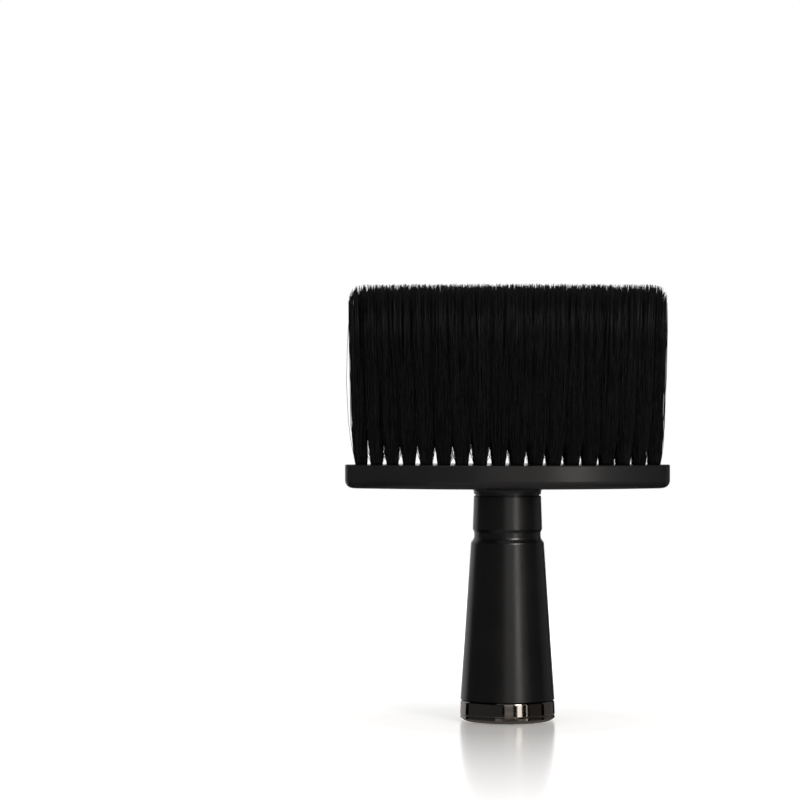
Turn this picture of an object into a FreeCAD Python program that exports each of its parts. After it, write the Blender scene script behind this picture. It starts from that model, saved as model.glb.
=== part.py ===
"""Neck duster brush: a wide bristle head on a collar and a tapered, free-standing handle.

Millimetres, +Z up, +X along the head. The origin is the middle of the foot's lower face.
Driving dimensions are in the sheet; every piece is one labelled object, written to parts/LABEL.step.
"""
import FreeCAD, Part
import math
import os

import Sketcher

V = FreeCAD.Vector
UP = V(0, 0, 1)

# name in the sheet, value in mm (a text that starts with "=" is worked out by the sheet), what it is
DIMENSIONS = (
    ("total_height", "174.5", "foot to bristle tips"),
    ("head_length", "130", "head block along X"),
    ("head_depth", "45", "head block along Y"),
    ("head_side_radius", "125", "long side arcs of the head's outline"),
    ("head_bottom_z", "93", "head block's underside"),
    ("head_thickness", "9.5", "head block's thickness"),
    ("head_under_fillet", "3.2", "rounding of the lower edge"),
    ("head_rim_chamfer", "0.35", "small break of the upper edge"),
    ("lip_radius", "13.45", "round lip under the head, flush with the collar"),
    ("lip_drop", "2.4", "lip's height"),
    ("lip_flare", "1.8", "hollow rounding where the lip meets the head's underside"),
    ("lip_edge_fillet", "0.3", "lip's lower edge"),
    ("seam_radius", "12.8", "sunk seam between lip and collar"),
    ("seam_width", "0.5", "sunk seam between lip and collar"),
    ("spigot_radius", "8", "head's spigot inside the collar"),
    ("spigot_length", "10.5", "from the seam down"),
    ("insert_radius", "3", "threaded insert and its pocket"),
    ("insert_length", "8.5", "threaded insert"),
    ("insert_inset", "0.2", "insert's lower face above the spigot's"),
    ("insert_bore_radius", "2.02", "insert's thread, drawn at its major radius"),
    ("insert_groove_depth", "0.4", "grip grooves round the insert"),
    ("insert_groove_width", "1.2", "grip grooves round the insert"),
    ("tuft_hole_radius", "2.3", "holes in the head block's top"),
    ("tuft_hole_depth", "7", "holes in the head block's top"),
    ("column_pitch", "7.35", "tuft columns, along the arc"),
    ("column_arc_radius", "100", "arc that the columns are spaced along"),
    ("row_edge_margin", "4.2", "outer tuft centres from the head's side"),
    ("tuft_plug_radius", "2.25", "fibres inside the hole"),
    ("tuft_root_half_width", "2.45", "half side of a tuft where it leaves the head"),
    ("tuft_lift", "0.05", "clearance between a tuft's root and the head's top"),
    ("tuft_flare_height", "10", "height over which the gaps between columns close"),
    ("tuft_gap", "0.3", "clearance between neighbouring tufts"),
    ("tuft_spread_x", "1.037", "tip width over root width along X"),
    ("tuft_spread_y", "1.037", "tip width over root width along Y"),
    ("anchor_length", "4.2", "flat wire across the hole's bottom"),
    ("anchor_thickness", "0.3", "flat wire"),
    ("anchor_height", "1.5", "flat wire"),
    ("collar_bottom_z", "75.6", "collar's lower face on the handle's seat"),
    ("collar_foot_radius", "13.4", "collar outside, foot of its lower bevel"),
    ("collar_bevel_height", "1.2", "collar's lower bevel"),
    ("collar_bottom_radius", "13.9", "collar outside, above the bevel"),
    ("collar_top_radius", "13.45", "collar outside, upper end"),
    ("collar_bore_radius", "11", "collar inside"),
    ("collar_edge_fillet", "0.35", "collar's upper edge and the top of its bevel"),
    ("handle_bottom_z", "8.75", "handle's skirt, on top of the ring"),
    ("handle_bottom_radius", "18.8", "handle outside at the ring"),
    ("handle_shoulder_z", "71.4", "top of the long taper"),
    ("handle_shoulder_radius", "14.6", "handle outside at the shoulder"),
    ("handle_shoulder_fillet", "0.9", "rounding of the shoulder"),
    ("groove_bottom_z", "73.2", "foot of the ramp into the groove"),
    ("groove_radius", "13.3", "groove under the collar"),
    ("groove_fillet", "2", "hollow between the ramp and the groove"),
    ("handle_foot_radius", "17.2", "handle's lower spigot inside the ring"),
    ("handle_foot_z", "2.8", "lower end of that spigot"),
    ("cavity_bottom_radius", "15.05", "handle inside, lower end"),
    ("cavity_top_radius", "10.9", "handle inside at the web"),
    ("web_bottom_z", "73.6", "web that the screw pulls on"),
    ("web_top_z", "79", "web that the screw pulls on"),
    ("web_hole_radius", "2.2", "screw hole in the web"),
    ("handle_neck_radius", "10.95", "handle's upper spigot inside the collar"),
    ("handle_neck_z", "89", "upper end of that spigot"),
    ("socket_radius", "8.05", "socket for the head's spigot"),
    ("ring_bottom_z", "2.75", "plated ring, on top of the foot plug"),
    ("ring_bottom_radius", "19.1", "plated ring outside, lower end"),
    ("ring_top_radius", "18.85", "plated ring outside, upper end"),
    ("ring_bore_radius", "17.25", "plated ring inside"),
    ("ring_upper_fillet", "1.3", "plated ring's rounded upper edge"),
    ("ring_lower_fillet", "0.35", "plated ring's lower edge"),
    ("plug_radius", "19.05", "foot plug outside"),
    ("plug_flat_radius", "16.5", "flat that the brush stands on"),
    ("plug_arc_radius", "2.95", "rounding between that flat and the outside"),
    ("plug_arc_height", "1.5", "rounding between that flat and the outside"),
    ("plug_upper_fillet", "0.3", "foot plug's upper edge"),
    ("plug_skirt_radius", "15", "foot plug's skirt inside the handle"),
    ("plug_skirt_wall", "1.8", "foot plug's skirt"),
    ("plug_skirt_z", "8.2", "upper end of the skirt"),
    ("plug_recess_radius", "11", "shallow recess in the foot"),
    ("plug_recess_depth", "0.8", "shallow recess in the foot"),
    ("washer_radius", "4.8", "washer outside"),
    ("washer_bore_radius", "2.15", "washer inside"),
    ("washer_thickness", "0.8", "washer"),
    ("screw_radius", "2", "screw shank, M4"),
    ("screw_length", "14", "screw shank under its head"),
    ("screw_head_radius", "3.9", "pan head"),
    ("screw_head_height", "2.6", "pan head"),
    ("screw_head_fillet", "1", "pan head's edge"),
    ("screw_slot_length", "4.4", "cross recess"),
    ("screw_slot_width", "1", "cross recess"),
    ("screw_slot_depth", "1.6", "cross recess"),
    ("head_top_z", "=head_bottom_z + head_thickness", "head block's top"),
    ("head_arc_offset", "=head_side_radius - head_depth / 2", "side arc centres from the long axis"),
    (
        "head_end_radius",
        "=(head_side_radius^2 - (head_length / 2)^2 - head_arc_offset^2)"
        " / (2 * head_side_radius - head_length)",
        "end arcs that make the outline head_length long",
    ),
    ("lip_bottom_z", "=head_bottom_z - lip_drop", "lip's lower face"),
    ("seam_bottom_z", "=lip_bottom_z - seam_width", "head's face on the collar"),
    ("spigot_bottom_z", "=seam_bottom_z - spigot_length", "lower end of the head's spigot"),
    ("insert_pocket_depth", "=insert_length + insert_inset", "pocket in the spigot"),
    ("insert_bottom_z", "=spigot_bottom_z + insert_inset", "insert's place"),
    ("tuft_hole_floor_z", "=head_top_z - tuft_hole_depth", "bottom of the tuft holes"),
    ("anchor_top_z", "=tuft_hole_floor_z + anchor_height", "top of the anchors"),
    ("tuft_root_z", "=head_top_z + tuft_lift", "where the tufts begin to spread"),
    ("plug_length", "=tuft_root_z - anchor_top_z", "fibres inside the hole"),
    ("tuft_upper_height", "=total_height - tuft_root_z - tuft_flare_height", "tuft above its flare"),
    ("collar_height", "=seam_bottom_z - collar_bottom_z", "collar"),
    ("web_thickness", "=web_top_z - web_bottom_z", "web"),
    ("ring_height", "=handle_bottom_z - ring_bottom_z", "plated ring"),
    ("plug_skirt_bore_radius", "=plug_skirt_radius - plug_skirt_wall", "foot plug's skirt inside"),
    ("washer_z", "=web_bottom_z - washer_thickness", "washer's place"),
    ("screw_head_z", "=washer_z - screw_head_height", "screw's place"),
    ("screw_tip", "=screw_head_height + screw_length", "screw's full length"),
    ("insert_groove_low", "=insert_length / 3 - insert_groove_width / 2", "first grip groove"),
    ("insert_groove_low_end", "=insert_groove_low + insert_groove_width", "first grip groove"),
    ("insert_groove_high", "=insert_length * 2 / 3 - insert_groove_width / 2", "second grip groove"),
    ("insert_groove_high_end", "=insert_groove_high + insert_groove_width", "second grip groove"),
    ("insert_groove_radius", "=insert_radius - insert_groove_depth", "floor of the grip grooves"),
)

# tufts in each column, front to back, from the middle column out to the end one
ROWS = (6, 6, 6, 5, 5, 4, 4, 3, 2)

os.makedirs("parts", exist_ok=True)
doc = FreeCAD.newDocument("neck_duster")


def make_sheet():
    """Write the dimensions into a spreadsheet, one aliased cell each."""
    new_sheet = doc.addObject("Spreadsheet::Sheet", "Sheet")
    for row, (alias, value, note) in enumerate(DIMENSIONS, start=1):
        new_sheet.set(f"A{row}", alias)
        new_sheet.set(f"B{row}", value)
        new_sheet.setAlias(f"B{row}", alias)
        new_sheet.set(f"C{row}", note)
    doc.recompute()
    return new_sheet


sheet = make_sheet()


def size(alias):
    """A dimension's number, for code that needs it."""
    return float(sheet.get(alias))


def bind(thing, **sizes):
    """Bind properties of an object to sheet cells."""
    for name, alias in sizes.items():
        thing.setExpression(name, f"Sheet.{alias}")


# ---- PartDesign helpers


def new_body(label, place_z=None):
    """An empty body whose own zero height is the sheet's place_z."""
    body = doc.addObject("PartDesign::Body", label)
    body.Label = label
    if place_z:
        body.Placement.Base.z = size(place_z)
        body.setExpression(".Placement.Base.z", f"Sheet.{place_z}")
    return body


def sketch_on(body, role, name, lift=None):
    """A sketch on one of the body's own origin planes, lifted along its normal by a sheet cell."""
    sketch = body.newObject("Sketcher::SketchObject", name)
    plane = next(item for item in body.Origin.OriginFeatures if item.Role == role)
    sketch.AttachmentSupport = [(plane, "")]
    sketch.MapMode = "FlatFace"
    if lift:
        sketch.setExpression(".AttachmentOffset.Base.z", f"Sheet.{lift}")
    return sketch


def constrain_to(sketch, alias, kind, *where):
    """Add a constraint whose value is a sheet cell."""
    index = sketch.addConstraint(Sketcher.Constraint(kind, *where, size(alias)))
    sketch.setExpression(f"Constraints[{index}]", f"Sheet.{alias}")


def pin_point(sketch, geometry, vertex, across, along):
    """Fix a vertex of the sketch at two sheet cells; None is zero."""
    for kind, axis, alias in (("DistanceX", -2, across), ("DistanceY", -1, along)):
        if alias is None:
            sketch.addConstraint(Sketcher.Constraint("PointOnObject", geometry, vertex, axis))
        else:
            constrain_to(sketch, alias, kind, -1, 1, geometry, vertex)


def bulging_arc(start, end, radius):
    """An arc from start to end that swells to the right of the way between them."""
    chord = end - start
    rise = math.sqrt(radius ** 2 - (chord.Length / 2) ** 2)
    centre = (start + end) / 2 + V(-chord.y, chord.x, 0).normalize() * rise
    angles = [math.atan2(point.y - centre.y, point.x - centre.x) for point in (start, end)]
    return Part.ArcOfCircle(Part.Circle(centre, UP, radius), *angles)


def draw_profile(sketch, corners, rounded):
    """A closed outline through corners, each a pair of sheet cells (radius, height).

    rounded gives the sides, by their first corner's number, that are arcs and the cells of their radii.
    """
    points = [V(*(size(alias) if alias else 0 for alias in corner), 0) for corner in corners]
    for index, (start, end) in enumerate(zip(points, points[1:] + points[:1])):
        if index in rounded:
            sketch.addGeometry(bulging_arc(start, end, size(rounded[index])))
        else:
            sketch.addGeometry(Part.LineSegment(start, end))
    for index, corner in enumerate(corners):
        before = (index - 1) % len(corners)
        sketch.addConstraint(Sketcher.Constraint("Coincident", before, 2, index, 1))
        pin_point(sketch, index, 1, *corner)
    for index, radius in rounded.items():
        constrain_to(sketch, radius, "Radius", index)


def draw_circle(sketch, radius):
    """A circle on the sketch's origin."""
    index = sketch.addGeometry(Part.Circle(V(), UP, size(radius)))
    sketch.addConstraint(Sketcher.Constraint("Coincident", index, 3, -1, 1))
    constrain_to(sketch, radius, "Radius", index)


def draw_rectangle(sketch, width, depth):
    """A rectangle centred on the sketch's origin."""
    half_width = size(width) / 2
    half_depth = size(depth) / 2
    signs = ((-1, -1), (1, -1), (1, 1), (-1, 1))
    corners = [V(x * half_width, y * half_depth, 0) for x, y in signs]
    for index, corner in enumerate(corners):
        sketch.addGeometry(Part.LineSegment(corner, corners[(index + 1) % 4]))
    for index in range(4):
        sketch.addConstraint(Sketcher.Constraint("Coincident", index, 2, (index + 1) % 4, 1))
        sketch.addConstraint(Sketcher.Constraint("Vertical" if index % 2 else "Horizontal", index))
    sketch.addConstraint(Sketcher.Constraint("Symmetric", 0, 1, 2, 1, -1, 1))
    constrain_to(sketch, width, "DistanceX", 0, 1, 0, 2)
    constrain_to(sketch, depth, "DistanceY", 1, 1, 1, 2)


def finish_feature(feature, sketch):
    """Hide a feature's sketch and work the feature out."""
    sketch.Visibility = False
    doc.recompute()
    return feature


def revolve(body, name, corners, rounded=None):
    """Turn a profile of (radius, height) corners round the body's Z axis."""
    sketch = sketch_on(body, "XZ_Plane", f"{name}_profile")
    draw_profile(sketch, corners, rounded or {})
    feature = body.newObject("PartDesign::Revolution", name)
    feature.Profile = sketch
    feature.ReferenceAxis = (sketch, ["V_Axis"])
    feature.Angle = 360
    return finish_feature(feature, sketch)


def pad(body, name, sketch, length, downwards=False):
    """Raise a sketch into a solid."""
    feature = body.newObject("PartDesign::Pad", name)
    feature.Profile = sketch
    feature.Reversed = downwards
    bind(feature, Length=length)
    return finish_feature(feature, sketch)


def pocket(body, name, sketch, depth, upwards=False):
    """Cut a sketch into the body and make sure that it removed something."""
    before = body.Shape.Volume
    feature = body.newObject("PartDesign::Pocket", name)
    feature.Profile = sketch
    feature.Reversed = upwards
    bind(feature, Length=depth)
    finish_feature(feature, sketch)
    if body.Shape.Volume >= before:
        raise RuntimeError(f"{name} cut nothing")
    return feature


def edge_names(shape, wanted):
    """Names of the edges that pass a test."""
    return [f"Edge{number}" for number, edge in enumerate(shape.Edges, start=1) if wanted(edge)]


def dress(body, kind, name, wanted, radius):
    """Fillet or chamfer the body's edges that pass a test."""
    base = body.Tip
    names = edge_names(base.Shape, wanted)
    if not names:
        raise RuntimeError(f"{name} found no edge")
    feature = body.newObject(f"PartDesign::{kind}", name)
    feature.Base = (base, names)
    bind(feature, **{"Radius" if kind == "Fillet" else "Size": radius})
    doc.recompute()
    return feature


def level_edge(height, least=0, most=math.inf):
    """A test for edges that lie at one height, between two distances from the axis."""

    def wanted(edge):
        box = edge.BoundBox
        reach = max(box.XMax, -box.XMin, box.YMax, -box.YMin)
        flat = abs(box.ZMin - height) < 1e-4 and abs(box.ZMax - height) < 1e-4
        return flat and least < reach < most

    return wanted


# ---- the head block


def tuft_columns():
    """(centre, inner edge, outer edge, rows) of each tuft column, left to right."""
    pitch = size("column_pitch")
    radius = size("column_arc_radius")

    def along(steps):
        return radius * math.sin(steps * pitch / radius)

    right = [(along(k + 0.5), along(k), along(k + 1), rows) for k, rows in enumerate(ROWS)]
    left = [(-centre, -outer, -inner, rows) for centre, inner, outer, rows in reversed(right)]
    return left + right


def tuft_rows(centre, rows):
    """Y of a column's tufts, and the pitch between them: the rows close up with the outline."""
    radius = size("head_side_radius")
    half_depth = math.sqrt(radius ** 2 - centre ** 2) - size("head_arc_offset")
    pitch = 2 * (half_depth - size("row_edge_margin")) / (rows - 1)
    # two rows keep a hole's width between them at the narrow ends
    pitch = max(pitch, 2 * size("tuft_hole_radius") + 0.6)
    return [(row - (rows - 1) / 2) * pitch for row in range(rows)], pitch


def tuft_centres():
    """Every tuft hole's centre on the head's top."""
    return [(centre, y) for centre, _, _, rows in tuft_columns() for y in tuft_rows(centre, rows)[0]]


def draw_lens(sketch):
    """Two long arcs that meet in points on the X axis."""
    radius = size("head_side_radius")
    offset = size("head_arc_offset")
    reach = math.acos(offset / radius)
    for centre_y, middle in ((offset, -math.pi / 2), (-offset, math.pi / 2)):
        circle = Part.Circle(V(0, centre_y, 0), UP, radius)
        sketch.addGeometry(Part.ArcOfCircle(circle, middle - reach, middle + reach))
    front, back = 0, 1
    sketch.addConstraint(Sketcher.Constraint("Coincident", front, 2, back, 1))
    sketch.addConstraint(Sketcher.Constraint("Coincident", back, 2, front, 1))
    for index in (front, back):
        sketch.addConstraint(Sketcher.Constraint("PointOnObject", index, 3, -2))
        constrain_to(sketch, "head_side_radius", "Radius", index)
    constrain_to(sketch, "head_arc_offset", "DistanceY", -1, 1, front, 3)
    constrain_to(sketch, "head_arc_offset", "DistanceY", back, 3, -1, 1)


def draw_tuft_holes(sketch):
    """One circle per tuft, all equal to the first."""
    for index, (x, y) in enumerate(tuft_centres()):
        sketch.addGeometry(Part.Circle(V(x, y, 0), UP, size("tuft_hole_radius")))
        sketch.addConstraint(Sketcher.Constraint("DistanceX", -1, 1, index, 3, x))
        if abs(y) < 1e-9:
            sketch.addConstraint(Sketcher.Constraint("PointOnObject", index, 3, -1))
        else:
            sketch.addConstraint(Sketcher.Constraint("DistanceY", -1, 1, index, 3, y))
        if index:
            sketch.addConstraint(Sketcher.Constraint("Equal", 0, index))
    constrain_to(sketch, "tuft_hole_radius", "Radius", 0)


def make_head_block():
    """Lens-shaped moulding with tuft holes, and a lip, a seam and a spigot for the neck."""
    body = new_body("head_block")
    outline = sketch_on(body, "XY_Plane", "head_outline", lift="head_bottom_z")
    draw_lens(outline)
    pad(body, "head_slab", outline, "head_thickness")

    def upright(edge):
        return edge.BoundBox.ZLength > size("head_thickness") / 2

    dress(body, "Fillet", "head_ends", upright, "head_end_radius")
    dress(body, "Fillet", "head_under_edge", level_edge(size("head_bottom_z")), "head_under_fillet")
    dress(body, "Chamfer", "head_rim", level_edge(size("head_top_z")), "head_rim_chamfer")

    for name, foot, radius, length in (
        ("lip", "lip_bottom_z", "lip_radius", "lip_drop"),
        ("seam", "seam_bottom_z", "seam_radius", "seam_width"),
        ("spigot", "spigot_bottom_z", "spigot_radius", "spigot_length"),
    ):
        outline = sketch_on(body, "XY_Plane", f"{name}_outline", lift=foot)
        draw_circle(outline, radius)
        pad(body, name, outline, length)
    lip_edge = level_edge(size("lip_bottom_z"), least=size("seam_radius") + 0.1)
    dress(body, "Fillet", "lip_edge", lip_edge, "lip_edge_fillet")
    lip_root = level_edge(size("head_bottom_z"), most=size("lip_radius") + 0.1)
    dress(body, "Fillet", "lip_root", lip_root, "lip_flare")
    insert = sketch_on(body, "XY_Plane", "insert_outline", lift="spigot_bottom_z")
    draw_circle(insert, "insert_radius")
    pocket(body, "insert_pocket", insert, "insert_pocket_depth", upwards=True)

    holes = sketch_on(body, "XY_Plane", "tuft_hole_outlines", lift="head_top_z")
    draw_tuft_holes(holes)
    pocket(body, "tuft_holes", holes, "tuft_hole_depth")
    return body


# ---- neck, handle and foot


def make_neck_collar():
    """Sleeve that hides the joint between head and handle."""
    body = new_body("neck_collar", "collar_bottom_z")
    revolve(body, "collar", (
        ("collar_bore_radius", None),
        ("collar_foot_radius", None),
        ("collar_bottom_radius", "collar_bevel_height"),
        ("collar_top_radius", "collar_height"),
        ("collar_bore_radius", "collar_height"),
    ))
    for name, height in (
        ("collar_bevel_edge", "collar_bevel_height"),
        ("collar_upper_edge", "collar_height"),
    ):
        outer = level_edge(size(height), least=size("collar_bore_radius") + 1)
        dress(body, "Fillet", name, outer, "collar_edge_fillet")
    return body


def make_handle_body():
    """Tapered shell with a web for the screw, a seat for the collar and a spigot at each end."""
    body = new_body("handle_body")
    revolve(body, "handle", (
        ("cavity_bottom_radius", "handle_foot_z"),
        ("handle_foot_radius", "handle_foot_z"),
        ("handle_foot_radius", "handle_bottom_z"),
        ("handle_bottom_radius", "handle_bottom_z"),
        ("handle_shoulder_radius", "handle_shoulder_z"),
        ("groove_radius", "groove_bottom_z"),
        ("groove_radius", "collar_bottom_z"),
        ("handle_neck_radius", "collar_bottom_z"),
        ("handle_neck_radius", "handle_neck_z"),
        ("socket_radius", "handle_neck_z"),
        ("socket_radius", "web_top_z"),
        ("web_hole_radius", "web_top_z"),
        ("web_hole_radius", "web_bottom_z"),
        ("cavity_top_radius", "web_bottom_z"),
        ("cavity_bottom_radius", "plug_skirt_z"),
    ))
    shoulder = level_edge(size("handle_shoulder_z"))
    dress(body, "Fillet", "handle_shoulder", shoulder, "handle_shoulder_fillet")
    dress(body, "Fillet", "groove_hollow", level_edge(size("groove_bottom_z")), "groove_fillet")
    return body


def make_base_ring():
    """Plated band round the handle's lower spigot."""
    body = new_body("base_ring", "ring_bottom_z")
    revolve(body, "ring", (
        ("ring_bore_radius", None),
        ("ring_bottom_radius", None),
        ("ring_top_radius", "ring_height"),
        ("ring_bore_radius", "ring_height"),
    ))
    for name, height, radius in (
        ("ring_lower_edge", 0, "ring_lower_fillet"),
        ("ring_upper_edge", size("ring_height"), "ring_upper_fillet"),
    ):
        outer = level_edge(height, least=size("ring_bore_radius") + 0.5)
        dress(body, "Fillet", name, outer, radius)
    return body


def make_foot_plug():
    """Plated foot with a rounded edge and a skirt pressed into the handle."""
    body = new_body("foot_plug")
    revolve(body, "plug", (
        (None, "plug_recess_depth"),
        ("plug_recess_radius", "plug_recess_depth"),
        ("plug_recess_radius", None),
        ("plug_flat_radius", None),
        ("plug_radius", "plug_arc_height"),
        ("plug_radius", "ring_bottom_z"),
        ("plug_skirt_radius", "ring_bottom_z"),
        ("plug_skirt_radius", "plug_skirt_z"),
        ("plug_skirt_bore_radius", "plug_skirt_z"),
        ("plug_skirt_bore_radius", "ring_bottom_z"),
        (None, "ring_bottom_z"),
    ), rounded={3: "plug_arc_radius"})
    upper_edge = level_edge(size("ring_bottom_z"), least=size("plug_skirt_radius") + 1)
    dress(body, "Fillet", "plug_upper_edge", upper_edge, "plug_upper_fillet")
    return body


# ---- the hidden fastening


def make_handle_screw():
    """Pan-head screw with a cross recess, head down inside the handle."""
    body = new_body("handle_screw", "screw_head_z")
    revolve(body, "screw", (
        (None, None),
        ("screw_head_radius", None),
        ("screw_head_radius", "screw_head_height"),
        ("screw_radius", "screw_head_height"),
        ("screw_radius", "screw_tip"),
        (None, "screw_tip"),
    ))
    dress(body, "Fillet", "screw_head_edge", level_edge(0), "screw_head_fillet")
    for name, long_side, short_side in (
        ("slot_x", "screw_slot_length", "screw_slot_width"),
        ("slot_y", "screw_slot_width", "screw_slot_length"),
    ):
        slot = sketch_on(body, "XY_Plane", f"{name}_outline")
        draw_rectangle(slot, long_side, short_side)
        pocket(body, name, slot, "screw_slot_depth", upwards=True)
    return body


def make_screw_washer():
    """Plain washer between the screw's head and the web."""
    body = new_body("screw_washer", "washer_z")
    revolve(body, "washer", (
        ("washer_bore_radius", None),
        ("washer_radius", None),
        ("washer_radius", "washer_thickness"),
        ("washer_bore_radius", "washer_thickness"),
    ))
    return body


def make_threaded_insert():
    """Brass insert with two grip grooves, moulded into the head's spigot."""
    body = new_body("threaded_insert", "insert_bottom_z")
    revolve(body, "insert", (
        ("insert_bore_radius", None),
        ("insert_radius", None),
        ("insert_radius", "insert_groove_low"),
        ("insert_groove_radius", "insert_groove_low"),
        ("insert_groove_radius", "insert_groove_low_end"),
        ("insert_radius", "insert_groove_low_end"),
        ("insert_radius", "insert_groove_high"),
        ("insert_groove_radius", "insert_groove_high"),
        ("insert_groove_radius", "insert_groove_high_end"),
        ("insert_radius", "insert_groove_high_end"),
        ("insert_radius", "insert_length"),
        ("insert_bore_radius", "insert_length"),
    ))
    return body


# ---- tufts and their anchors


def make_tuft_anchors():
    """Flat wires across the tuft holes' bottoms, one solid per hole."""
    wires = []
    for number, (x, y) in enumerate(tuft_centres(), start=1):
        wire = doc.addObject("Part::Box", f"anchor_{number:02d}")
        bind(wire, Length="anchor_length", Width="anchor_thickness", Height="anchor_height")
        wire.setExpression(".Placement.Base.x", f"{x} - Sheet.anchor_length / 2")
        wire.setExpression(".Placement.Base.y", f"{y} - Sheet.anchor_thickness / 2")
        wires.append(wire)
    return group("tuft_anchors", wires, V(0, 0, size("tuft_hole_floor_z")))


def group(label, members, place):
    """A compound of separate solids."""
    compound = doc.addObject("Part::Compound", label)
    compound.Label = label
    compound.Links = members
    compound.Placement.Base = place
    return compound


def frustum(name, height, low, high):
    """A solid between two rectangles, each (x low, x high, y low, y high), standing on z = 0."""
    wedge = doc.addObject("Part::Wedge", name)
    # the wedge grows along its own Y, so it is stood up and its Z limits are the Y limits turned over
    wedge.Xmin, wedge.Xmax, wedge.Zmin, wedge.Zmax = low[0], low[1], -low[3], -low[2]
    wedge.X2min, wedge.X2max, wedge.Z2min, wedge.Z2max = high[0], high[1], -high[3], -high[2]
    wedge.Ymin = 0
    bind(wedge, Ymax=height)
    wedge.Placement.Rotation = FreeCAD.Rotation(V(1, 0, 0), 90)
    return wedge


def spread(cell, level):
    """A tuft's cell at a share of the free height, pulled in by the gap to its neighbours."""
    grow_x = 1 + (size("tuft_spread_x") - 1) * level
    grow_y = 1 + (size("tuft_spread_y") - 1) * level
    inset = size("tuft_gap") / 2
    return (cell[0] * grow_x + inset, cell[1] * grow_x - inset,
            cell[2] * grow_y + inset, cell[3] * grow_y - inset)


def make_tuft(name, x, y, cell):
    """One tuft: fibres in the hole, a flare that closes the gaps, and the long spreading part."""
    root = size("tuft_root_half_width")
    flare = size("tuft_flare_height")
    free = size("total_height") - size("tuft_root_z")
    middle_cell = spread(cell, flare / free)
    in_hole = doc.addObject("Part::Cylinder", f"{name}_plug")
    bind(in_hole, Radius="tuft_plug_radius", Height="plug_length")
    in_hole.Placement.Base = V(x, y, -size("plug_length"))
    lower = frustum(f"{name}_flare", "tuft_flare_height", (x - root, x + root, y - root, y + root),
                    middle_cell)
    upper = frustum(f"{name}_brush", "tuft_upper_height", middle_cell, spread(cell, 1))
    upper.setExpression(".Placement.Base.z", "Sheet.tuft_flare_height")
    tuft = doc.addObject("Part::MultiFuse", name)
    tuft.Shapes = [in_hole, lower, upper]
    return tuft


def make_tuft_column(number, centre, inner, outer, rows):
    """One column of tufts from the head's front to its back."""
    rows_y, pitch = tuft_rows(centre, rows)
    tufts = []
    for row, y in enumerate(rows_y, start=1):
        cell = (inner, outer, y - pitch / 2, y + pitch / 2)
        tufts.append(make_tuft(f"tuft_{number:02d}_{row}", centre, y, cell))
    return group(f"tuft_column_{number:02d}", tufts, V(0, 0, size("tuft_root_z")))


# ---- build, check and write


def check_piece(piece):
    """Stop if a piece is missing, broken or not valid."""
    shape = piece.Shape
    if shape.isNull() or not shape.isValid() or not shape.Solids:
        raise RuntimeError(f"{piece.Label} has no valid solid")


def main():
    """Make every piece, check the document and write one STEP file per piece."""
    pieces = [
        make_head_block(),
        make_neck_collar(),
        make_handle_body(),
        make_base_ring(),
        make_foot_plug(),
        make_handle_screw(),
        make_screw_washer(),
        make_threaded_insert(),
        make_tuft_anchors(),
    ]
    for number, column in enumerate(tuft_columns(), start=1):
        pieces.append(make_tuft_column(number, *column))
    doc.recompute()

    broken = [item.Label for item in doc.Objects if {"Invalid", "Error"} & set(item.State)]
    if broken:
        raise RuntimeError(f"not worked out: {broken}")
    for piece in pieces:
        check_piece(piece)
        piece.Shape.exportStep(f"parts/{piece.Label}.step")


main()
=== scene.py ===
"""Looks of the neck duster brush: fibre by fibre bristles, moulded soft-touch plastic and dark plating.

Metres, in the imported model's frame: +Z up from the foot, +X along the head, the front towards -Y.
"""

import math

import bpy
import numpy as np
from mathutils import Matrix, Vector


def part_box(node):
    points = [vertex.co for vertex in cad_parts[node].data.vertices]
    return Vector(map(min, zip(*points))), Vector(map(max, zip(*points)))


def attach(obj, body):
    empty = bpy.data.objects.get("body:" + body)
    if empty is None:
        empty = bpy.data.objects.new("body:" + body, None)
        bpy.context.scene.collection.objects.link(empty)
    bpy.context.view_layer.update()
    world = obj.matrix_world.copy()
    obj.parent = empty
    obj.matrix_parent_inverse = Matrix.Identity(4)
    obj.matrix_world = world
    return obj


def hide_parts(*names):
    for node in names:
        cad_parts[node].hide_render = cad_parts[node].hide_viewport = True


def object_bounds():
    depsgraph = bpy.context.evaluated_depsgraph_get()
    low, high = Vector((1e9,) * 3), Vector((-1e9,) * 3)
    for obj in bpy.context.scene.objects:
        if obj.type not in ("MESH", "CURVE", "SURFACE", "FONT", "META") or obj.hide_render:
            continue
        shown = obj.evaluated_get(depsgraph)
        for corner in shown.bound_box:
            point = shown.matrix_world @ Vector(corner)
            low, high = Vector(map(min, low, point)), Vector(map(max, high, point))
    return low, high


MM = 0.001
BODY = "root"

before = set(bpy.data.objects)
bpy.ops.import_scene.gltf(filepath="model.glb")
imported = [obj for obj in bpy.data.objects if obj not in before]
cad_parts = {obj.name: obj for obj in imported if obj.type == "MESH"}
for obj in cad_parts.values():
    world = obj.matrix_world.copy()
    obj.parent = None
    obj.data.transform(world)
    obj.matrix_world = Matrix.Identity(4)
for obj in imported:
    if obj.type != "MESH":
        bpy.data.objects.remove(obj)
cad_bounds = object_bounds()


# ---- node helpers


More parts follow.
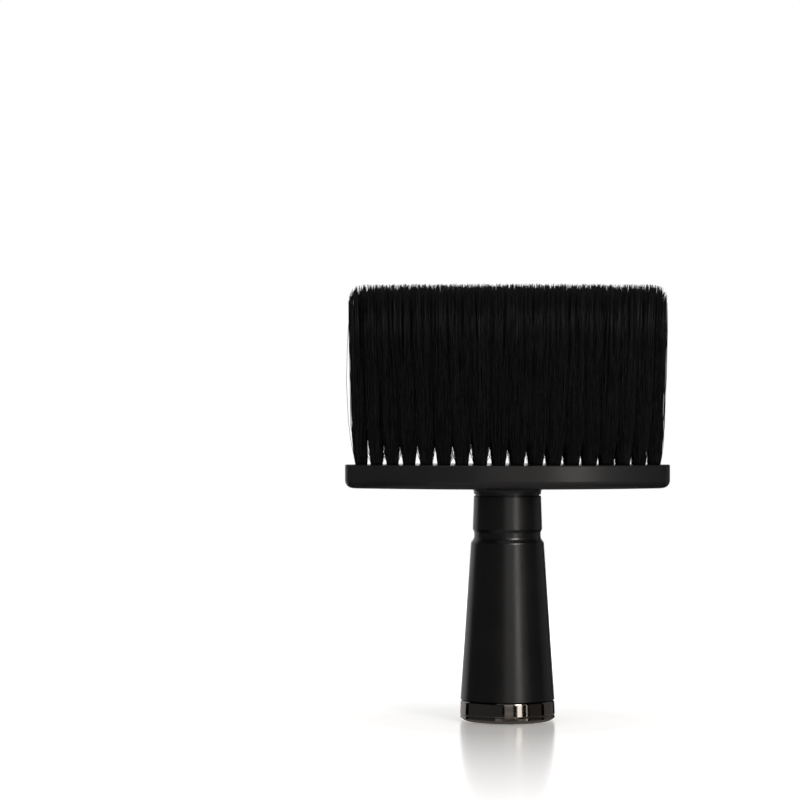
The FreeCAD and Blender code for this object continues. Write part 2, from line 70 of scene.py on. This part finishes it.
class Nodes:
    """A short way to write a material's node tree."""

    def __init__(self, name):
        self.material = bpy.data.materials.new(name)
        self.material.use_nodes = True
        self.tree = self.material.node_tree
        self.shader = self.tree.nodes["Principled BSDF"]

    def add(self, kind, settings=None, **inputs):
        """A node with plain settings, and inputs that are numbers or other nodes' sockets."""
        node = self.tree.nodes.new(f"ShaderNode{kind}")
        for key, value in (settings or {}).items():
            setattr(node, key, value)
        for key, value in inputs.items():
            self.feed(node.inputs[key.replace("_", " ")], value)
        return node

    def feed(self, socket, value):
        """Link a socket to another one, or set its value."""
        if isinstance(value, bpy.types.NodeSocket):
            self.tree.links.new(value, socket)
        else:
            socket.default_value = value

    def finish(self, **inputs):
        """Set the shader's own sockets and return the material."""
        for key, value in inputs.items():
            self.feed(self.shader.inputs[key.replace("_", " ")], value)
        return self.material

    def place(self, scale=(1, 1, 1)):
        """Object coordinates, stretched by a scale for each axis."""
        where = self.add("TexCoord").outputs["Object"]
        return self.add("Mapping", Vector=where, Scale=scale).outputs["Vector"]

    def noise(self, vector, scale, detail):
        """Noise between about 0.3 and 0.7."""
        return self.add("TexNoise", Vector=vector, Scale=scale, Detail=detail).outputs["Fac"]

    def between(self, value, low, high, start=0.3, end=0.7):
        """A value from start to end carried over to low to high."""
        node = self.add("MapRange", Value=value)
        for key, number in (("From Min", start), ("From Max", end), ("To Min", low), ("To Max", high)):
            node.inputs[key].default_value = number
        return node.outputs["Result"]

    def colours(self, value, dark, light):
        """A colour that goes from dark to light where noise goes from its low to its high end."""
        ramp = self.add("ValToRGB", Fac=value)
        for point, position, colour in zip(ramp.color_ramp.elements, (0.3, 0.7), (dark, light)):
            point.position = position
            point.color = (*colour, 1)
        return ramp.outputs["Color"]

    def bump(self, height, depth, strength):
        """A bump from a height texture; depth is in metres."""
        node = self.add("Bump", Height=height, Strength=strength, Distance=depth)
        return node.outputs["Normal"]


# ---- materials


def soft_touch(name, dark, light, ior):
    """Matte black soft-touch paint: a fine orange-peel grain and slightly uneven gloss."""
    n = Nodes(name)
    where = n.place()
    grain = n.noise(where, 5200, detail=3)
    patches = n.noise(where, 60, detail=4)
    return n.finish(Base_Color=n.colours(patches, dark, light),
                    Roughness=n.between(patches, 0.27, 0.32),
                    IOR=ior,
                    Normal=n.bump(grain, 0.02 * MM, 0.5))


def dark_plating():
    """Black-nickel plating: a dark mirror with faint turning lines round it."""
    n = Nodes("dark_plating")
    lines = n.noise(n.place((40, 40, 9000)), 1.0, detail=2)
    smudges = n.noise(n.place(), 130, detail=5)
    return n.finish(Base_Color=n.colours(smudges, (0.245, 0.218, 0.199), (0.297, 0.266, 0.244)),
                    Metallic=1.0,
                    Roughness=n.between(smudges, 0.05, 0.12),
                    Normal=n.bump(lines, 0.004 * MM, 0.3))


def bristle_fibre():
    """Black nylon: each fibre a little different in tone, a soft gloss along it."""
    n = Nodes("bristle_black")
    across = n.noise(n.place((1, 1, 0.02)), 2600, detail=1)
    along = n.noise(n.place((1, 1, 0.15)), 5000, detail=1)
    return n.finish(Base_Color=n.colours(across, (0.0008, 0.0008, 0.0011), (0.0062, 0.0060, 0.0076)),
                    Roughness=n.between(across, 0.34, 0.5),
                    IOR=1.4,
                    Normal=n.bump(along, 0.01 * MM, 0.3))


def machined(name, dark, light):
    """Turned metal for the hidden fastening."""
    n = Nodes(name)
    rings = n.noise(n.place((300, 300, 6000)), 1.0, detail=3)
    return n.finish(Base_Color=n.colours(rings, dark, light),
                    Metallic=1.0,
                    Roughness=n.between(rings, 0.22, 0.38),
                    Normal=n.bump(rings, 0.005 * MM, 0.4))


# ---- the hard parts


def dress_cad_nodes():
    """Materials for the CAD nodes that stay as they are."""
    plastic = soft_touch("soft_touch_black", (0.0022, 0.0020, 0.0022), (0.0032, 0.0029, 0.0031), 1.6)
    # a shade paler and duller than the handle and the neck
    head_plastic = soft_touch("head_soft_touch", (0.0064, 0.0060, 0.0063), (0.0082, 0.0077, 0.0080), 1.5)
    plating = dark_plating()
    steel = machined("zinc_steel", (0.42, 0.43, 0.45), (0.62, 0.63, 0.65))
    brass = machined("insert_brass", (0.52, 0.36, 0.13), (0.75, 0.56, 0.26))
    materials = {
        "head_block": head_plastic,
        "neck_collar": plastic,
        "handle_body": plastic,
        "base_ring": plating,
        "foot_plug": plating,
        "handle_screw": steel,
        "screw_washer": steel,
        "tuft_anchors": steel,
        "threaded_insert": brass,
    }
    for name, material in materials.items():
        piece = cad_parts[name]
        piece.data.materials.clear()
        piece.data.materials.append(material)


# ---- bristles

SEED = 7
# how the CAD tufts are read: the depth of the bands at their feet and tips, and the gaps between groups
END_BAND = 0.1 * MM
FOOT_GAP = 0.5 * MM
CELL_EDGE_GAP = 0.05 * MM
FIBRES_PER_TUFT = 300
FIBRE_RADIUS = 0.095 * MM
FIBRE_SIDES = 3
THICKNESS_RANGE = (0.85, 1.1)
TIP_TAPER = 0.7
# radius of the bundle of fibres in its hole, and how much wider it is once out of it
HOLE_FILL = 2.15 * MM
ROOT_BULGE = 0.45 * MM
ROOT_BULGE_HEIGHT = 2.0 * MM
# height at which the bundles start to widen, and how much of their cell they then fill along X
WIDEN_FROM = 1.5 * MM
WIDEN_SHARE = 1.05
# fibres head for their own tips from this share of the closing height, over this share of their length
GATHER_FROM = 0.75
GATHER_OVER = 0.75
# heights above the head's top at which a fibre has a ring of points; the tip comes after the last
LEVELS = np.array([-1.2, 1.2, 3.2, 6.5, 11.0, 20.0, 34.0, 52.0]) * MM
# how far a fibre's upper rings stray from their level, so that no band shows across the block
LEVEL_SCATTER = 2.6 * MM
SCATTER_LIMIT = 6 * MM
SCATTER_FROM = 5
# height in millimetres over which the gaps between neighbouring columns' roots close
CLOSING_RANGE = (9.0, 15.0)
# each tuft's own closing height, as a share of its column's
TUFT_CLOSING_RANGE = (0.85, 1.2)
# radians; each tuft's spiral of fibres starts somewhere in about a full turn
SPIRAL_START = 6.28
# fibres cross into the next tuft's share of the block: the spread of their tips and its scatter along
# X and Y, in half widths of their own share
TIP_SPREAD = 1.12
TIP_SCATTER = (0.42, 0.35)
ROOT_SCATTER = 0.03
# share of what an outer tuft's tips would reach past the block's end that is left to them
END_OVERRUN = 0.12
# tufts fill a square share of the block, so their fibres' round spread is pushed into the corners
TIP_SQUARING = 0.8
BODY_SQUARING = 0.7
FIBRES_PER_LOCK = 13
LOCK_PULL = 0.5
BEND = 0.35 * MM
STRAY_SHARE = 0.035
STRAY_BEND = 4
SPLAY_SHARE = 0.07
SPLAY = 1.3 * MM
END_SPLAY = 0.35 * MM
SPLAY_HEIGHT = 16 * MM
CORNER_RADIUS = 5.5 * MM
# just under 1, so that the corner's arc never stands quite upright
CORNER_SHARE = 0.98
TIP_MARGIN = 0.1 * MM
# most fibres end a little below the longest ones, so the block's top fades out instead of ending in a line
TIP_CUT = 2.4 * MM
TIP_RAGGEDNESS = 1.5 * MM
# neighbouring fibres are cut alike: wavelengths along X and Y, and how far the cut wanders
CUT_WAVES = ((0.8 * MM, 16 * MM), (1.3 * MM, 23 * MM), (2.3 * MM, 31 * MM), (4.7 * MM, 40 * MM))
CUT_WAVE_SHIFT = 1.9
CUT_DEPTH = 0.9 * MM


def near_groups(values, gap):
    """Split sorted indices wherever neighbouring values are more than gap apart."""
    order = np.argsort(values)
    cuts = np.where(np.diff(values[order]) > gap)[0] + 1
    return np.split(order, cuts)


def read_tufts(node):
    """Root centre and tip cell of each tuft in a CAD column: ((x, y), (x low, x high, y low, y high))."""
    points = np.array([v.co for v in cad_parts[node].data.vertices])
    foot = points[points[:, 2] < points[:, 2].min() + END_BAND]
    tip = points[points[:, 2] > points[:, 2].max() - END_BAND]
    roots = []
    for members in near_groups(foot[:, 1], FOOT_GAP):
        ring = foot[members]
        roots.append(((ring.min(0) + ring.max(0)) / 2)[:2])
    edges = [tip[members] for members in near_groups(tip[:, 1], CELL_EDGE_GAP)]
    edges.sort(key=lambda corners: corners[:, 1].mean())
    tufts = []
    for number, root in enumerate(roots):
        low, high = edges[2 * number], edges[2 * number + 1]
        cell = (low[:, 0].min(), low[:, 0].max(), low[:, 1].mean(), high[:, 1].mean())
        tufts.append((root, cell))
    return tufts


def smooth(t):
    """Ease from 0 to 1."""
    t = np.clip(t, 0, 1)
    return t * t * (3 - 2 * t)


def root_spots(rng):
    """Where fibres stand in their tuft: a filled spiral, as (u, v) from about -1 to 1, and their angles."""
    count = FIBRES_PER_TUFT
    golden_angle = math.pi * (3 - math.sqrt(5))
    turn = np.arange(count) * golden_angle + rng.uniform(0, SPIRAL_START)
    reach = np.sqrt((np.arange(count) + 0.5) / count)
    u = reach * np.cos(turn) + rng.normal(0, ROOT_SCATTER, count)
    v = reach * np.sin(turn) + rng.normal(0, ROOT_SCATTER, count)
    return u, v, turn


def tip_spots(rng, u, v, square, outer_side):
    """Where the fibres' tips stand in their tuft's cell, as (u, v) from about -1 to 1."""
    tip_u = u * TIP_SPREAD + rng.normal(0, TIP_SCATTER[0], FIBRES_PER_TUFT)
    tip_v = v * TIP_SPREAD + rng.normal(0, TIP_SCATTER[1], FIBRES_PER_TUFT)
    tip_u = tip_u * (1 + (square - 1) * TIP_SQUARING)
    tip_v = tip_v * (1 + (square - 1) * TIP_SQUARING)
    if outer_side:
        over = tip_u * outer_side - 1.0
        tip_u = np.where(over > 0, outer_side * (1.0 + over * END_OVERRUN), tip_u)
    return gather_locks(rng, tip_u, tip_v)


def gather_locks(rng, tip_u, tip_v):
    """Lean the tips towards a few shared centres."""
    locks = rng.integers(0, FIBRES_PER_TUFT, FIBRES_PER_TUFT // FIBRES_PER_LOCK)
    distance = (tip_u[:, None] - tip_u[locks]) ** 2 + (tip_v[:, None] - tip_v[locks]) ** 2
    nearest = locks[np.argmin(distance, axis=1)]
    gathered_u = tip_u + (tip_u[nearest] - tip_u) * LOCK_PULL
    gathered_v = tip_v + (tip_v[nearest] - tip_v) * LOCK_PULL
    return gathered_u, gathered_v


def bends_and_splays(rng, outer_side):
    """How far each fibre bows out along its length, and how far it leans out near its root."""
    count = FIBRES_PER_TUFT
    bend = rng.normal(0, BEND, (count, 2))
    bend[rng.random(count) < STRAY_SHARE] *= STRAY_BEND
    # a few leave the root splayed, so that neighbouring tufts cross low down
    splay = np.where(rng.random(count) < SPLAY_SHARE, rng.normal(0, SPLAY, count), 0)
    if outer_side:
        # the end tufts spread outwards as soon as they leave the head
        splay = outer_side * np.abs(rng.normal(0, END_SPLAY, count))
    return bend, splay


def tuft_paths(rng, root, cell, outer_side, closing, top_z, head_z):
    """Centre lines of one tuft's fibres, as an array (fibre, level, xyz)."""
    u, v, turn = root_spots(rng)
    square = 1 / np.maximum(np.abs(np.cos(turn)), np.abs(np.sin(turn)))
    tip_u, tip_v = tip_spots(rng, u, v, square, outer_side)
    bend, splay = bends_and_splays(rng, outer_side)

    tip_x = (cell[0] + cell[1]) / 2
    tip_y = (cell[2] + cell[3]) / 2
    half_x = (cell[1] - cell[0]) / 2
    half_y = (cell[3] - cell[2]) / 2
    height = top_z - head_z
    levels = np.append(LEVELS, height)
    paths = np.zeros((FIBRES_PER_TUFT, len(levels), 3))
    for index, level in enumerate(levels):
        share = level / height
        # from the tuft's round bundle at the root to each fibre's own tip
        rise = smooth((level - closing * GATHER_FROM) / (height * GATHER_OVER))
        # half widths of the tuft at this level, before the fibres find their tips
        bundle = HOLE_FILL + ROOT_BULGE * smooth(level / ROOT_BULGE_HEIGHT)
        fill = smooth((level - WIDEN_FROM) / closing)
        wide_x = bundle + (half_x * WIDEN_SHARE - bundle) * fill
        wide_y = bundle + (half_y - bundle) * fill
        centre_x = root[0] + (tip_x - root[0]) * share
        centre_y = root[1] + (tip_y - root[1]) * share
        stretch = 1 + (square - 1) * BODY_SQUARING * fill
        bow = math.sin(math.pi * max(share, 0))
        low_bow = math.sin(math.pi * min(max(level, 0) / SPLAY_HEIGHT, 1))
        x_low = u * stretch * wide_x + splay * low_bow
        y_low = v * stretch * wide_y
        x_high = tip_u * half_x
        y_high = tip_v * half_y
        paths[:, index, 0] = centre_x + x_low + (x_high - x_low) * rise + bend[:, 0] * bow
        paths[:, index, 1] = centre_y + y_low + (y_high - y_low) * rise + bend[:, 1] * bow
        paths[:, index, 2] = head_z + level
        if SCATTER_FROM <= index < len(LEVELS):
            scatter = rng.normal(0, LEVEL_SCATTER, FIBRES_PER_TUFT)
            paths[:, index, 2] += np.clip(scatter, -SCATTER_LIMIT, SCATTER_LIMIT)
    return paths


def cut_depth(tips):
    """How much shorter the scissors left the fibres here and there, from 0 up."""
    total = np.zeros(len(tips))
    for number, (along_x, along_y) in enumerate(CUT_WAVES):
        waves = tips[:, 0] / along_x + tips[:, 1] / along_y
        total += np.sin(2 * math.pi * waves + number * CUT_WAVE_SHIFT)
    return CUT_DEPTH * np.clip(total, 0, None)


def trim(rng, paths, block):
    """Cut the tips level, with ragged ends and rounded corners at the block's ends."""
    low, high = block
    tips = paths[:, -1]
    inward = np.minimum(tips[:, 0] - low[0], high[0] - tips[:, 0])
    near = np.clip(1 - inward / CORNER_RADIUS, 0, 1)
    drop = CORNER_RADIUS * (1 - np.sqrt(1 - near ** 2 * CORNER_SHARE))
    ragged = np.clip(rng.normal(TIP_CUT, TIP_RAGGEDNESS, len(tips)), 0, None) + cut_depth(tips)
    last_span = paths[:, -1, 2] - paths[:, -2, 2]
    length = 1 - (drop + ragged + TIP_MARGIN) / last_span
    paths[:, -1] = paths[:, -2] + (paths[:, -1] - paths[:, -2]) * length[:, None]


def tube_points(rng, paths):
    """Rings of points round the paths, as an array (fibre, level, side, xyz)."""
    count, levels, _ = paths.shape
    spin = rng.uniform(0, 2 * math.pi, count)
    angle = spin[:, None] + np.arange(FIBRE_SIDES) * 2 * math.pi / FIBRE_SIDES
    thickness = FIBRE_RADIUS * rng.uniform(*THICKNESS_RANGE, count)
    ring = np.stack([np.cos(angle), np.sin(angle), np.zeros_like(angle)], axis=2)
    taper = np.ones(levels)
    taper[-1] = TIP_TAPER
    radius = thickness[:, None, None, None] * taper[None, :, None, None]
    return paths[:, :, None, :] + ring[:, None, :, :] * radius


def tube_faces(count, levels):
    """Faces of closed tubes whose points run side by side, level by level and fibre by fibre."""
    sides = FIBRE_SIDES
    base = (np.arange(count) * levels * sides)[:, None, None]
    step = (np.arange(levels - 1) * sides)[None, :, None]
    here = np.arange(sides)[None, None, :]
    after = (here + 1) % sides
    quads = np.stack([base + step + here, base + step + after,
                      base + step + sides + after, base + step + sides + here], axis=3)
    start = np.arange(count)[:, None] * levels * sides
    bottoms = start + np.arange(sides)[::-1]
    tops = start + (levels - 1) * sides + np.arange(sides)
    return quads.reshape(-1, 4).tolist() + bottoms.tolist() + tops.tolist()


def fibre_mesh(rng, name, paths, material):
    """Thin closed tubes along the paths, joined into one piece."""
    count, levels, _ = paths.shape
    points = tube_points(rng, paths).reshape(-1, 3)
    mesh = bpy.data.meshes.new(name)
    mesh.from_pydata(points.tolist(), [], tube_faces(count, levels))
    mesh.shade_smooth()
    mesh.materials.append(material)
    piece = bpy.data.objects.new(name, mesh)
    bpy.context.scene.collection.objects.link(piece)
    return piece


def end_side(number, count):
    """-1 for the first column, 1 for the last one and 0 for those between."""
    if number == 0:
        return -1
    return 1 if number == count - 1 else 0


def make_bristles():
    """One piece of fibres for each CAD tuft column."""
    material = bristle_fibre()
    columns = sorted(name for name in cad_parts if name.startswith("tuft_column"))
    boxes = [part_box(name) for name in columns]
    block = (np.min([low for low, _ in boxes], axis=0), np.max([high for _, high in boxes], axis=0))
    top_z = block[1][2]
    head_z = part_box("head_block")[1].z
    rng = np.random.default_rng(SEED)
    # one for each gap, and for the outer sides of the two end columns
    closings = rng.uniform(*CLOSING_RANGE, len(columns) + 1) * MM
    for number, column in enumerate(columns):
        outer_side = end_side(number, len(columns))
        parts = []
        for root, cell in read_tufts(column):
            both_sides = (closings[number] + closings[number + 1]) / 2
            closing = both_sides * rng.uniform(*TUFT_CLOSING_RANGE)
            parts.append(tuft_paths(rng, root, cell, outer_side, closing, top_z, head_z))
        paths = np.concatenate(parts)
        trim(rng, paths, block)
        piece = fibre_mesh(rng, column.replace("tuft", "bristles"), paths, material)
        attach(piece, BODY)
        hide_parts(column)


# ---- studio

WARM = (1.0, 0.96, 0.92)
COOL = (0.93, 0.95, 1.0)
NEUTRAL = (1, 1, 1)
# name, azimuth, elevation, distance, (width, height), radiance, tint; all face the brush's middle
LIGHTS = (
    ("key_strip", 27.5, 16, 1.3, (0.26, 1.08), 3.2, WARM),
    ("key_high", 28, 33, 1.3, (0.30, 0.4), 15.0, WARM),
    ("front_fill", 2, 15, 1.3, (0.50, 0.9), 0.65, WARM),
    ("edge_strip", 46, 10, 1.3, (0.04, 1.1), 1.7, NEUTRAL),
    ("right_dim", 71, 6, 1.3, (0.85, 1.2), 0.05, WARM),
    ("right_card", 121, 4, 1.3, (1.1, 1.2), 0.13, NEUTRAL),
    ("left_card", -62, 6, 1.5, (3.4, 1.2), 0.065, COOL),
    ("left_rim", -140, 4, 1.3, (0.8, 1.2), 0.55, NEUTRAL),
    ("screen_behind", 180, 3, 1.3, (0.9, 1.4), 1.2, NEUTRAL),
    ("overhead", 0, 78, 1.2, (0.9, 0.7), 0.6, NEUTRAL),
)
# these face the foot from below the floor, in place of the pale floor that the glossy pieces would mirror
FLOOR_CARDS = (
    ("low_card", 8, -24, 0.6, (1.0, 0.4), 0.3, WARM),
    ("ground_card", 0, -90, 0.02, (0.2, 0.2), 0.19, WARM),
)


def area_light(aim, name, azimuth, elevation, distance, size, radiance, tint):
    """A soft box that faces aim. Azimuth 0 is the camera's side, positive to its right."""
    turn = math.radians(azimuth)
    lift = math.radians(elevation)
    away = Vector((math.sin(turn) * math.cos(lift), -math.cos(turn) * math.cos(lift), math.sin(lift)))
    light = bpy.data.lights.new(name, "AREA")
    light.shape = "RECTANGLE"
    light.size, light.size_y = size
    light.energy = radiance * math.pi * size[0] * size[1]
    light.color = tint
    lamp = bpy.data.objects.new(name, light)
    lamp.location = aim + away * distance
    lamp.rotation_euler = away.to_track_quat("Z", "Y").to_euler()
    lamp.visible_camera = False
    bpy.context.scene.collection.objects.link(lamp)
    return lamp


def pale_floor():
    """Glossy pale grey with a white glow, weakest at the foot so that it paints a soft shade round the
    foot; the floor fades out well away from it.
    """
    n = Nodes("pale_floor")
    where = n.add("TexCoord").outputs["Object"]
    distance = n.add("VectorMath", {"operation": "LENGTH"}, Vector=where).outputs["Value"]
    n.finish(Base_Color=(0.68, 0.67, 0.66, 1),
             Roughness=0.2,
             Emission_Color=(1, 1, 1, 1),
             # painted shade: no glow at the foot, rising away from it, darkens the floor round the foot
             Emission_Strength=n.between(distance, 0.0, 0.62, 0.05, 0.36))
    clear = n.add("BsdfTransparent").outputs["BSDF"]
    mixed = n.add("MixShader", Fac=n.between(distance, 0.0, 1.0, 0.45, 1.15))
    n.feed(mixed.inputs[1], n.shader.outputs["BSDF"])
    n.feed(mixed.inputs[2], clear)
    n.feed(n.tree.nodes["Material Output"].inputs["Surface"], mixed.outputs["Shader"])
    return n.material


def make_floor():
    """A round pale floor, hidden from reflections, under the foot."""
    bpy.ops.mesh.primitive_circle_add(vertices=128, radius=1.2, fill_type="NGON")
    floor = bpy.context.object
    floor.name = "floor"
    floor.data.materials.append(pale_floor())
    # the brush's dark sides don't mirror the white floor
    floor.visible_glossy = False


def make_studio():
    """White surroundings, a strip light to the right of the camera and a bright screen behind."""
    scene = bpy.context.scene
    scene.view_settings.view_transform = "Standard"
    world = bpy.data.worlds.new("studio")
    scene.world = world
    world.use_nodes = True
    background = world.node_tree.nodes["Background"]
    background.inputs["Color"].default_value = (1, 1, 1, 1)
    background.inputs["Strength"].default_value = 1.0
    world.cycles_visibility.glossy = False
    middle = Vector((0, 0, (cad_bounds[0][2] + cad_bounds[1][2]) / 2))
    for light in LIGHTS:
        area_light(middle, *light)
    for card in FLOOR_CARDS:
        area_light(Vector((0, 0, 0)), *card).visible_diffuse = False


def make_camera():
    """A nearly level camera at the bristles' height, with the brush to the right of the frame's middle."""
    distance = 1.43
    frame_width = 0.32
    height = 0.139
    aim = Vector((-0.0430, 0, 0.1283))
    data = bpy.data.cameras.new("camera")
    data.sensor_width = 36
    data.lens = data.sensor_width * distance / frame_width
    data.clip_end = 50
    camera = bpy.data.objects.new("camera", data)
    camera.location = Vector((aim.x, -distance, height))
    camera.rotation_euler = (camera.location - aim).to_track_quat("Z", "Y").to_euler()
    bpy.context.scene.collection.objects.link(camera)
    bpy.context.scene.camera = camera


dress_cad_nodes()
make_bristles()
make_floor()
make_studio()
make_camera()
